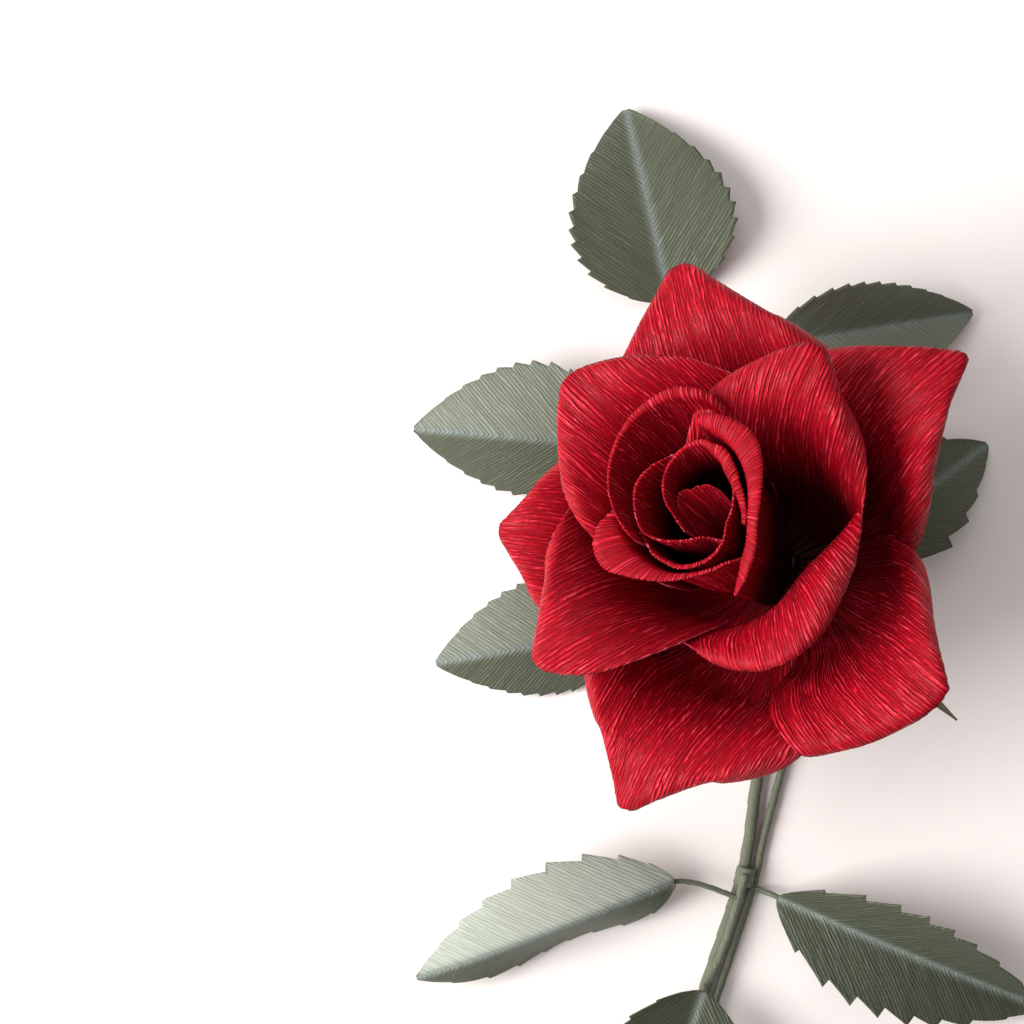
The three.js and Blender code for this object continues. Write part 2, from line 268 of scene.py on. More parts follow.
class Nodes:
    """Places shader nodes in a tree and joins them."""

    def __init__(self, tree: bpy.types.NodeTree) -> None:
        """Keeps the tree that the nodes go in."""
        self.tree = tree

    def add(self, kind: str, **settings: object) -> bpy.types.Node:
        """Places a new node.

        Args:
            kind: of node.
            settings: its properties, by name.

        Returns:
            the node.
        """
        node = self.tree.nodes.new(kind)
        for key, value in settings.items():
            setattr(node, key, value)
        return node

    def feed(self, target: bpy.types.NodeSocket, source: object) -> None:
        """Links a socket to a socket, or sets its value.

        Args:
            target: the input.
            source: an output, or a value.
        """
        if isinstance(source, bpy.types.NodeSocket):
            self.tree.links.new(source, target)
        else:
            target.default_value = source

    def fac(self, attribute: str) -> bpy.types.NodeSocket:
        """A number that the mesh holds for each point."""
        return self.add("ShaderNodeAttribute", attribute_name=attribute).outputs["Fac"]

    def math(self, operation: str, *inputs: object) -> bpy.types.NodeSocket:
        """Places a Math node.

        Args:
            operation: what it does.
            inputs: sockets or values.

        Returns:
            its output.
        """
        node = self.add("ShaderNodeMath", operation=operation)
        for socket, value in zip(node.inputs, inputs):
            self.feed(socket, value)
        return node.outputs[0]

    def mix(self, factor: object, low: object, high: object) -> bpy.types.NodeSocket:
        """Places a node that mixes two colours.

        Args:
            factor: 0 for the low colour and 1 for the high one, as a socket or a value.
            low: a socket or a colour.
            high: a socket or a colour.

        Returns:
            the colour between them.
        """
        node = self.add("ShaderNodeMix", data_type="RGBA")
        self.feed(node.inputs["Factor"], factor)
        self.feed(node.inputs[6], low)
        self.feed(node.inputs[7], high)
        return node.outputs[2]

    def scaled(self, vector: object, x: float, y: float, z: float = 1.0) -> bpy.types.NodeSocket:
        """Places a node that multiplies a coordinate along each axis.

        Args:
            vector: the coordinate's socket.
            x: the first axis's factor.
            y: the second's.
            z: the third's.

        Returns:
            the scaled coordinate.
        """
        node = self.add("ShaderNodeMapping")
        self.feed(node.inputs["Vector"], vector)
        node.inputs["Scale"].default_value = (x, y, z)
        return node.outputs[0]

    def noise(self, vector: object, detail: float, roughness: float = 0.5) -> bpy.types.NodeSocket:
        """Places a noise texture whose blotches are about one unit across.

        Args:
            vector: the coordinate's socket.
            detail: how many finer layers it has.
            roughness: how much of each finer layer there is.

        Returns:
            the noise, about 0.5.
        """
        node = self.add("ShaderNodeTexNoise")
        self.feed(node.inputs["Vector"], vector)
        node.inputs["Scale"].default_value = 1.0
        node.inputs["Detail"].default_value = detail
        node.inputs["Roughness"].default_value = roughness
        return node.outputs[0]

    def steps(self, value: object, low: float, high: float) -> bpy.types.NodeSocket:
        """Places a node that spreads a value over 0 to 1 and holds it at both ends.

        Args:
            value: the socket.
            low: what becomes 0.
            high: what becomes 1.

        Returns:
            the spread value.
        """
        node = self.add("ShaderNodeMapRange")
        self.feed(node.inputs["Value"], value)
        node.inputs["From Min"].default_value = low
        node.inputs["From Max"].default_value = high
        return node.outputs[0]


def shader_group(
    name: str, inputs: dict[str, float], outputs: dict[str, str]
) -> tuple[Nodes, bpy.types.Node, bpy.types.Node]:
    """Starts a shader node group with named sockets.

    Args:
        name: of the group.
        inputs: the default of each number it takes, by name.
        outputs: socket type by name.

    Returns:
        the maker of the group's nodes, its input node and its output node.
    """
    tree = bpy.data.node_groups.new(name, "ShaderNodeTree")
    for key, default in inputs.items():
        socket = tree.interface.new_socket(key, in_out="INPUT", socket_type="NodeSocketFloat")
        socket.default_value = default
    for key, kind in outputs.items():
        tree.interface.new_socket(key, in_out="OUTPUT", socket_type=kind)
    nodes = Nodes(tree)
    return nodes, nodes.add("NodeGroupInput"), nodes.add("NodeGroupOutput")


@dataclass(frozen=True)
class CrepeGrain:
    """The grain of crepe paper: fine long wrinkles that run along the sheet's second coordinate.

    The sheet's first coordinate over the spacing counts the wrinkles. A slow and a quick noise move them
    sideways, a triangle wave raised to a power gives each a thin crest and a wide hollow, and another
    noise lowers them here and there, so that they break and join. A finer noise adds the fibres.

    Each pair is how often a noise changes, for each wrinkle's width across and each length along.
    """

    slow: tuple[float, float] = (0.6, 0.9)
    slow_sway: float = 1.3  # in widths of a wrinkle
    quick: tuple[float, float] = (1.3, 2.6)
    quick_sway: float = 0.8
    breaks: tuple[float, float] = (0.9, 1.5)
    worn: tuple[float, float] = (0.25, 0.6)  # that noise, where a crest is lowest and where it is whole
    broken: float = 0.55  # the height of a crest where it is lowest
    sharpness: float = 2.6  # the power that thins the crests
    fibres: tuple[float, float] = (3.0, 7.0)
    fibre_height: float = 0.35
    span: tuple[float, float] = (0.1, 1.1)  # the heights of a hollow and of a crest
    mottle: tuple[float, float] = (0.09, 0.05)  # for each millimetre

    def group(self) -> bpy.types.NodeTree:
        """The grain as a node group.

        Returns:
            the group, which takes a wrinkle's spacing, length and height, and puts out how near a crest
            each place is, a slow mottle, and the normal.
        """
        nodes, start, end = shader_group(
            "crepe grain",
            {"Spacing in mm": 0.8, "Length in mm": 8.0, "Height in mm": 0.2},
            {"Crest": "NodeSocketFloat", "Mottle": "NodeSocketFloat", "Normal": "NodeSocketVector"},
        )
        sheet = nodes.add("ShaderNodeUVMap", uv_map="paper").outputs[0]
        split = nodes.add("ShaderNodeSeparateXYZ")
        nodes.feed(split.inputs[0], sheet)
        counted = nodes.math("DIVIDE", split.outputs[0], start.outputs["Spacing in mm"])
        drawn = nodes.math("DIVIDE", split.outputs[1], start.outputs["Length in mm"])
        join = nodes.add("ShaderNodeCombineXYZ")
        nodes.feed(join.inputs[0], counted)
        nodes.feed(join.inputs[1], drawn)
        place = join.outputs[0]
        slow = nodes.math("MULTIPLY", nodes.noise(nodes.scaled(place, *self.slow), 1.0), self.slow_sway)
        quick = nodes.math("MULTIPLY", nodes.noise(nodes.scaled(place, *self.quick), 1.0), self.quick_sway)
        swayed = nodes.math("ADD", counted, nodes.math("ADD", slow, quick))
        wave = nodes.math("MULTIPLY", nodes.math("PINGPONG", swayed, 0.5), 2.0)
        sharp = nodes.math("POWER", wave, self.sharpness)
        held = nodes.steps(nodes.noise(nodes.scaled(place, *self.breaks), 1.0), *self.worn)
        kept = nodes.math("ADD", self.broken, nodes.math("MULTIPLY", held, 1 - self.broken))
        fibre = nodes.noise(nodes.scaled(place, *self.fibres), 2.0, 0.6)
        fine = nodes.math("MULTIPLY", fibre, self.fibre_height)
        height = nodes.math("ADD", nodes.math("MULTIPLY", sharp, kept), fine)
        bump = nodes.add("ShaderNodeBump")
        nodes.feed(bump.inputs["Height"], nodes.math("MULTIPLY", height, start.outputs["Height in mm"]))
        bump.inputs["Strength"].default_value = 1.0
        bump.inputs["Distance"].default_value = METRES
        nodes.feed(end.inputs["Crest"], nodes.steps(height, *self.span))
        nodes.feed(end.inputs["Mottle"], nodes.noise(nodes.scaled(sheet, *self.mottle), 3.0))
        nodes.feed(end.inputs["Normal"], bump.outputs[0])
        return nodes.tree


Colour = tuple[float, float, float, float]


@dataclass(frozen=True)
class CrepeFinish:
    """Crepe paper of one dye: hollows, body and crests of the wrinkles, and how it shines. The hollow's
    colour is painted shade in the grooves; the crest's is paler stretched paper with a painted highlight.
    """

    name: str
    # hollow: painted shade in the wrinkles' grooves; crest: paler stretched paper with a painted highlight
    hollow: Colour
    body: Colour
    crest: Colour
    spacing: float = 0.68  # from one wrinkle to the next, in millimetres, as are the next two
    run: float = 9.0  # how long a wrinkle is
    height: float = 0.32
    roughness: float = 0.36  # near a crest
    specular: float = 0.28
    specular_tint: Colour = (1.0, 0.55, 0.6, 1.0)
    sheen: float = 0.0
    sheen_tint: Colour = (1.0, 0.35, 0.42, 1.0)
    rib: Colour | None = None  # the dye along the midrib
    foot: Colour | None = None  # painted shade at a petal's foot, in the bloom's hollows that light barely reaches
    painted_light: Colour | None = None  # painted light on a leaf's lit half, whose shaded parts go to the painted shade

    # painted shade for a leaf's shaded half
    PAINTED_SHADE = (0.02, 0.022, 0.012, 1)
    MOTTLE = 0.3  # how far the slow mottle evens the wrinkles' colours out
    ROUGHER = 0.15  # how much rougher than that a hollow is
    POLISH = 0.2  # how much smoother a crest is than a hollow
    TO_BODY = (0.0, 0.35)  # how near a crest the hollow's colour goes over to the body's
    TO_CREST = (0.45, 1.0)

    def shade(self, nodes: Nodes, crest: bpy.types.NodeSocket, mottle: bpy.types.NodeSocket) -> object:
        """The colour of the paper.

        Args:
            nodes: the maker of the material's nodes.
            crest: how near a crest each place is.
            mottle: the slow mottle.

        Returns:
            a colour socket: from hollow (painted shade) to body to crest (paler paper with painted
                highlight),
            and then to the painted shade at the foot, the painted light or shade on a leaf's half and the
            dye of the midrib, by the numbers that the mesh holds for them.
        """
        # painted shade in the hollows, and paler paper with painted highlight on the crests
        low = nodes.mix(nodes.steps(crest, *self.TO_BODY), self.hollow, self.body)
        colour = nodes.mix(nodes.steps(crest, *self.TO_CREST), low, self.crest)
        colour = nodes.mix(nodes.math("MULTIPLY", mottle, self.MOTTLE), colour, self.body)
        # painted shade towards the foot of the petals, by the mesh's depth numbers
        if self.foot:
            colour = nodes.mix(nodes.fac("depth"), colour, self.foot)
        # painted light and shade on the leaves' halves: above 0 towards the painted light, below 0 towards
        # the painted shade
        if self.painted_light:
            lighting = nodes.fac("pale")
            colour = nodes.mix(lighting, colour, self.painted_light)
            colour = nodes.mix(nodes.math("MULTIPLY", lighting, -1.0), colour, self.PAINTED_SHADE)
        if self.rib:
            colour = nodes.mix(nodes.fac("rib"), colour, self.rib)
        return colour

    def material(self, grain: bpy.types.NodeTree) -> bpy.types.Material:
        """The finish as a material.

        Args:
            grain: the crepe grain group.

        Returns:
            a procedural material that follows the sheet's own coordinates.
        """
        made = bpy.data.materials.new(self.name)
        made.use_nodes = True
        nodes = Nodes(made.node_tree)
        shader = made.node_tree.nodes["Principled BSDF"]
        crepe = nodes.add("ShaderNodeGroup", node_tree=grain)
        crepe.inputs["Spacing in mm"].default_value = self.spacing
        crepe.inputs["Length in mm"].default_value = self.run
        crepe.inputs["Height in mm"].default_value = self.height
        crest = crepe.outputs["Crest"]
        polish = nodes.math("MULTIPLY", crest, self.POLISH)
        rough = nodes.math("SUBTRACT", self.roughness + self.ROUGHER, polish)
        nodes.feed(shader.inputs["Base Color"], self.shade(nodes, crest, crepe.outputs["Mottle"]))
        nodes.feed(shader.inputs["Normal"], crepe.outputs["Normal"])
        nodes.feed(shader.inputs["Roughness"], rough)
        shader.inputs["Specular IOR Level"].default_value = self.specular
        shader.inputs["Specular Tint"].default_value = self.specular_tint
        shader.inputs["Sheen Weight"].default_value = self.sheen
        shader.inputs["Sheen Roughness"].default_value = 0.45
        shader.inputs["Sheen Tint"].default_value = self.sheen_tint
        return made


@dataclass(frozen=True)
class SolidFinish:
    """Cotton or steel: a colour mottled between two, with a bump of its own, on object coordinates."""

    name: str
    low: Colour
    high: Colour
    grain: tuple[float, float, float]  # how fine the mottle is along each axis, per metre
    height: float
    roughness: float
    metallic: float = 0.0

    def material(self) -> bpy.types.Material:
        """The finish as a material.

        Returns:
            a procedural material on object coordinates.
        """
        made = bpy.data.materials.new(self.name)
        made.use_nodes = True
        nodes = Nodes(made.node_tree)
        shader = made.node_tree.nodes["Principled BSDF"]
        place = nodes.add("ShaderNodeTexCoord").outputs["Object"]
        mottle = nodes.noise(nodes.scaled(place, *self.grain), 3.0, 0.6)
        nodes.feed(shader.inputs["Base Color"], nodes.mix(mottle, self.low, self.high))
        bump = nodes.add("ShaderNodeBump")
        nodes.feed(bump.inputs["Height"], nodes.math("MULTIPLY", mottle, self.height))
        bump.inputs["Distance"].default_value = METRES
        nodes.feed(shader.inputs["Normal"], bump.outputs[0])
        shader.inputs["Roughness"].default_value = self.roughness
        shader.inputs["Metallic"].default_value = self.metallic
        return made


def dress_node(node: str, material: bpy.types.Material) -> None:
    """Gives a CAD node's own mesh a better material.

    Args:
        node: the CAD node's name.
        material: what its faces get.
    """
    for held in frame["nodes"][node].material_slots:
        held.material = material
    LOG.info("%s: dressed in %s", node, material.name)


# ---------------------------------------------------------------- petals


@dataclass(frozen=True)
class Roll:
    """A corner rolled back round a tapering stick, beyond a line from the petal's side to its tip."""

    start: float  # where the line leaves the side, as a share of the petal's length
    radius: float = 5.0  # at the side
    tip_radius: float = 1.0


@dataclass(frozen=True)
class Section:
    """The upright section that a petal stands on, from its base to its rim, as radius and height."""

    knots: tuple[tuple[float, float], ...]

    SAMPLES = 240

    def line(self) -> tuple[Array, Array, Array]:
        """The line through the knots.

        Returns:
            its points, the length along it, and its slope from upright in radians.
        """
        points = smooth_line(np.array(self.knots, dtype=float), self.SAMPLES)
        direction = np.gradient(points, axis=0)
        slopes = np.unwrap(np.arctan2(direction[:, 0], direction[:, 1]))
        return points, reach_along(points), slopes

    def carry(
        self, azimuth: float, x: Array, y: Array, out: Array, pitch: float = 0.0, flare: float = 0.0
    ) -> Array:
        """Carries flat points on to the section, turned about the bloom's axis.

        A point y along the section sits at its radius and height, moves out along the section's normal,
        and turns about the axis by x over the radius. The petal also moves outwards against that turn,
        so that each petal's anticlockwise side lies over its neighbour.

        Args:
            azimuth: of the petal's middle.
            x: across the petal.
            y: from its base.
            out: outwards from the section.
            pitch: how far the petal moves outwards for each radian.
            flare: how far both its sides move outwards, at a radian from its middle.

        Returns:
            points in the bloom's frame, with a last axis of 3.
        """
        points, reach, slopes = self.line()
        held = np.clip(y, 0, reach[-1])
        radius = np.interp(held, reach, points[:, 0])
        height = np.interp(held, reach, points[:, 1])
        slope = np.interp(held, reach, slopes)
        turn = x / radius
        out = out - turn * pitch + flare * np.abs(turn) ** 3
        beyond = y - held
        radius = radius + beyond * np.sin(slope) + out * np.cos(slope)
        height = height + beyond * np.cos(slope) - out * np.sin(slope)
        angle = math.radians(azimuth) + turn
        return np.stack([radius * np.cos(angle), radius * np.sin(angle), height], axis=-1)


class Cut:
    """How finely petals are meshed and how the crepe's wrinkles run, in millimetres."""

    COLUMN = 0.21
    ROW = 1.4
    SPACING = 0.8  # from one wrinkle to the next
    HEIGHT = 0.16
    DRIFT = 1.2  # how far the wrinkles wander sideways
    DRIFT_SPACING = 3.0
    DRIFT_RUN = 14.0
    NICK = 0.8  # from one nick in a rim to the next
    NICK_SEED = 50  # added to a petal's own seed

    @classmethod
    def grained(cls, sheet: Array, seed: int) -> tuple[Array, Array]:
        """The sheet's coordinates with the wrinkles' drift, and the wrinkles' height from 0 to 1.

        Args:
            sheet: the coordinates across and along the grain.
            seed: of the drift.

        Returns:
            the coordinates, with streaked noise added to the first, and 0.5 - 0.5 cos(2 pi x / spacing).
        """
        across, along = np.moveaxis(sheet, -1, 0)
        across = across + cls.DRIFT * streaks(across, along, cls.DRIFT_SPACING, cls.DRIFT_RUN, seed)
        ridge = 0.5 - 0.5 * np.cos(2 * np.pi * across / cls.SPACING)
        return np.stack([across, along], axis=-1), ridge

    @classmethod
    def ragged(cls, along: Array, depth: float, seed: int) -> Array:
        """How far a cut rim stands above or below its line: noise from -depth / 2 to depth / 2."""
        return depth * (streaks(along, along * 0, cls.NICK, 1.0, seed + cls.NICK_SEED) - 0.5)


@dataclass(frozen=True)
class Side:
    """One side of an open petal: how wide it is, how its corner is rolled, and where it is widest."""

    half: float
    roll: Roll | None = None
    widest: float = 0.5  # as a share of the petal's length
    shoulder: float = 0.45  # the height of its corner, as a share of the petal's length
    fan: float = 1.0  # the power that keeps it narrow near the base


@dataclass(frozen=True)
class OpenPetal:
    """A petal cut from crepe, cupped, with rolled corners that leave a point between them."""

    name: str
    section: Section
    azimuth: float
    clockwise: Side
    anticlockwise: Side
    length: float = 1.0  # as a share of its section's
    power: float = 2.3  # of the superellipse that its rim follows
    neck: float = 0.14  # how wide the foot is, as a share of the petal's width
    stand_off: float = 0.0  # how far it stands outside its section
    pitch: float = 0.0
    flare: float = 0.0
    wave: float = 0.3  # how far the rim waves in and out
    seed: int = 1
    shade_reach: float = 0.55  # how far up the painted shade at the foot reaches, as a share of the length

    FULL_SHADE = 1.15  # the painted shade at the foot is at its darkest up to 0.15 of its reach
    WAVE_PACE = 0.45  # radians of the wave for each millimetre across
    NICK_DEPTH = 0.4
    NICK_REACH = 25  # half the rim, as the length that its nicks are laid along

    def outline(self, u: Array, full: float) -> Array:
        """The rim: shoulders at the sides, rising as a superellipse to the middle.

        Args:
            u: across the petal, from -1 to 1.
            full: the petal's length in the middle.

        Returns:
            the rim's distance from the base.
        """
        rise = np.clip(1 - np.abs(u) ** self.power, 0, 1) ** (1 / self.power)
        shoulder = np.where(u < 0, self.clockwise.shoulder, self.anticlockwise.shoulder)
        ragged = Cut.ragged(u * self.NICK_REACH, self.NICK_DEPTH, self.seed)
        return full * (shoulder + (1 - shoulder) * rise) + ragged

    @staticmethod
    def rolled(flat: Array, roll: Roll, side: int, half: float, full: float) -> Array:
        """Bends what lies beyond a roll's line back round its radius, which tapers towards the tip.

        A point's distance beyond the line becomes an arc: radius sin(a) beyond it, radius (1 - cos(a))
        behind the petal, where a is the distance over the radius.

        Args:
            flat: points across, along and behind the petal, with a last axis of 3.
            roll: of the corner.
            side: -1 for the clockwise corner and 1 for the anticlockwise one.
            half: how wide that side is.
            full: the petal's length in the middle.

        Returns:
            the points, with that corner rolled.
        """
        x, y, z = np.moveaxis(flat, -1, 0)
        foot = np.array([side * half, roll.start * full])
        line = np.array([0.0, full]) - foot
        long = np.linalg.norm(line)
        line = line / long
        outward = np.array([side * line[1], -side * line[0]])
        beyond = (x - foot[0]) * outward[0] + (y - foot[1]) * outward[1]
        along = (x - foot[0]) * line[0] + (y - foot[1]) * line[1]
        near = np.sqrt(np.clip(1 - along / long, 0, 1))
        radius = roll.tip_radius + (roll.radius - roll.tip_radius) * near
        turn = np.clip(beyond, 0, None) / radius
        kept = np.where(beyond > 0, radius * np.sin(turn), beyond)
        behind = radius * (1 - np.cos(turn))
        return np.stack(
            [
                foot[0] + along * line[0] + kept * outward[0],
                foot[1] + along * line[1] + kept * outward[1],
                z + behind,
            ],
            axis=-1,
        )

    def surface(self) -> tuple[Array, Array, dict[str, Array]]:
        """The petal's middle surface.

        Returns:
            points in the bloom's frame, the sheet's own coordinates, and how much painted shade each point
            gets, most at the foot.
        """
        full = self.length * self.section.line()[1][-1]
        columns = int((self.clockwise.half + self.anticlockwise.half) / Cut.COLUMN) | 1
        rows = int(full / Cut.ROW)
        v, u = np.meshgrid(np.linspace(0, 1, rows), np.linspace(-1, 1, columns), indexing="ij")
        top = self.outline(u, full)
        y = v * top
        half = np.where(u < 0, self.clockwise.half, self.anticlockwise.half)
        widest = np.where(u < 0, self.clockwise.widest, self.anticlockwise.widest)
        fan = np.where(u < 0, self.clockwise.fan, self.anticlockwise.fan)
        opened = np.sin(np.pi / 2 * np.clip(y / full / widest, 0, 1)) ** fan
        x = u * half * (self.neck + (1 - self.neck) * opened)
        sheet, ridge = Cut.grained(np.stack([u * half, y], axis=-1), self.seed)
        frill = self.wave * (y / full) ** 4 * np.sin(u * half * self.WAVE_PACE + self.seed)
        flat = np.stack([x, y, (ridge - 0.5) * Cut.HEIGHT + frill], axis=-1)
        for side, way in ((self.clockwise, -1), (self.anticlockwise, 1)):
            if side.roll:
                flat = self.rolled(flat, side.roll, way, side.half, full)
        x, y, z = np.moveaxis(flat, -1, 0)
        # painted shade, full at the foot and gone at the reach
        depth = np.clip(self.FULL_SHADE - v * top / full / self.shade_reach, 0, 1)
        points = self.section.carry(self.azimuth, x, y, z + self.stand_off, self.pitch, self.flare)
        return points, sheet, {"depth": depth}


@dataclass(frozen=True)
class WoundPetal:
    """A petal wound round the bud: a wall that follows a spiral, with its rim turned outwards.

    Each knot of the spiral is an azimuth, the radius of the wall's top, the radius of the rim and the
    height of the wall's top, about the bud's own middle.
    """

    name: str
    knots: tuple[tuple[float, float, float, float], ...]
    bottom: float = 2.0  # height of the base
    base: float = 0.45  # radius of the base, as a share of the wall's
    foot: tuple[float, float] = (0.0, 0.0)  # where the base is centred
    middle: tuple[float, float] = (-6.0, 4.9)  # where the rim is centred
    seed: int = 1
    painted_shade_span: tuple[float, float] = (0.0, 0.35)  # how far up the painted shade at the foot stays full, and where it ends

    SWELL = ((0.0, 0.0), (0.12, 0.4), (0.4, 0.68), (0.7, 0.85), (1.0, 1.0))  # height share, radius share
    RIM_HEIGHT = 35.0
    SAMPLES = 400
    WALL = 0.8  # the share of the rows that the wall takes, before the turned rim
    RIM_ROWS = 8
    TURN = 1.9  # radians of the rim's turn outwards
    LIP_LIMIT = 2.5  # the widest rim that still rises as it turns
    LIP_RISE = 0.6
    NICK_DEPTH = 0.5

    def surface(self) -> tuple[Array, Array, dict[str, Array]]:
        """The petal's middle surface.

        Returns:
            points in the bloom's frame, the sheet's own coordinates, and how much painted shade each point
            gets, most at the foot.
        """
        dense = smooth_line(np.array(self.knots, dtype=float), self.SAMPLES)
        angle = np.radians(dense[:, 0])
        reach = reach_along(np.stack([dense[:, 2] * np.cos(angle), dense[:, 2] * np.sin(angle)], axis=-1))
        columns = int(reach[-1] / Cut.COLUMN) | 1
        placed = np.linspace(0, reach[-1], columns)
        azimuth, wall, rim, height = (np.interp(placed, reach, column) for column in dense.T)
        azimuth = np.radians(azimuth)
        tall = height - self.bottom
        rows = int(tall.max() / Cut.ROW) + self.RIM_ROWS
        v = np.linspace(0, 1, rows)[:, None]
        up = np.clip(v / self.WALL, 0, 1)
        swell = np.interp(up, *np.array(self.SWELL).T)
        turned = np.clip((v - self.WALL) / (1 - self.WALL), 0, 1) * self.TURN
        lip = (rim - wall) / (1 - math.cos(self.TURN))
        radius = wall * (self.base + (1 - self.base) * swell) + lip * (1 - np.cos(turned))
        level = self.bottom + tall * up + np.minimum(lip, self.LIP_LIMIT) * np.sin(turned) * self.LIP_RISE
        sheet = np.stack(np.broadcast_arrays(placed[None, :], level), axis=-1)
        sheet, ridge = Cut.grained(sheet, self.seed)
        radius = radius + (ridge - 0.5) * Cut.HEIGHT
        level = level + Cut.ragged(placed, self.NICK_DEPTH, self.seed) * v**6
        share = np.clip((level - self.bottom) / (self.RIM_HEIGHT - self.bottom), 0, 1.1)
        x = radius * np.cos(azimuth) + self.foot[0] + (self.middle[0] - self.foot[0]) * share
        y = radius * np.sin(azimuth) + self.foot[1] + (self.middle[1] - self.foot[1]) * share
        # painted shade on the wall, full up to the first share and gone at the second
        dark, plain = self.painted_shade_span
        depth = np.clip((plain - v) / (plain - dark), 0, 1) + 0 * x
        return np.stack([x, y, level], axis=-1), sheet, {"depth": depth}


RISING = Section(((3.4, -4.5), (10, -3.5), (14, 4), (16, 15), (20, 25), (28, 33), (38, 35), (46, 34)))
FLARED = Section(((3.4, -4.5), (11, -3.5), (17, 4), (21, 16), (26, 27), (34, 34), (43, 35)))
CLASPED = Section(((3.4, -4.5), (8, -3.5), (10, 4), (11.5, 13), (13, 22), (17, 29.5), (23, 33.5), (30, 34)))
FLAT = Section(((3.6, -7), (13, -6.5), (21, 0), (26, 9), (33, 18), (43, 22.5), (54, 20)))

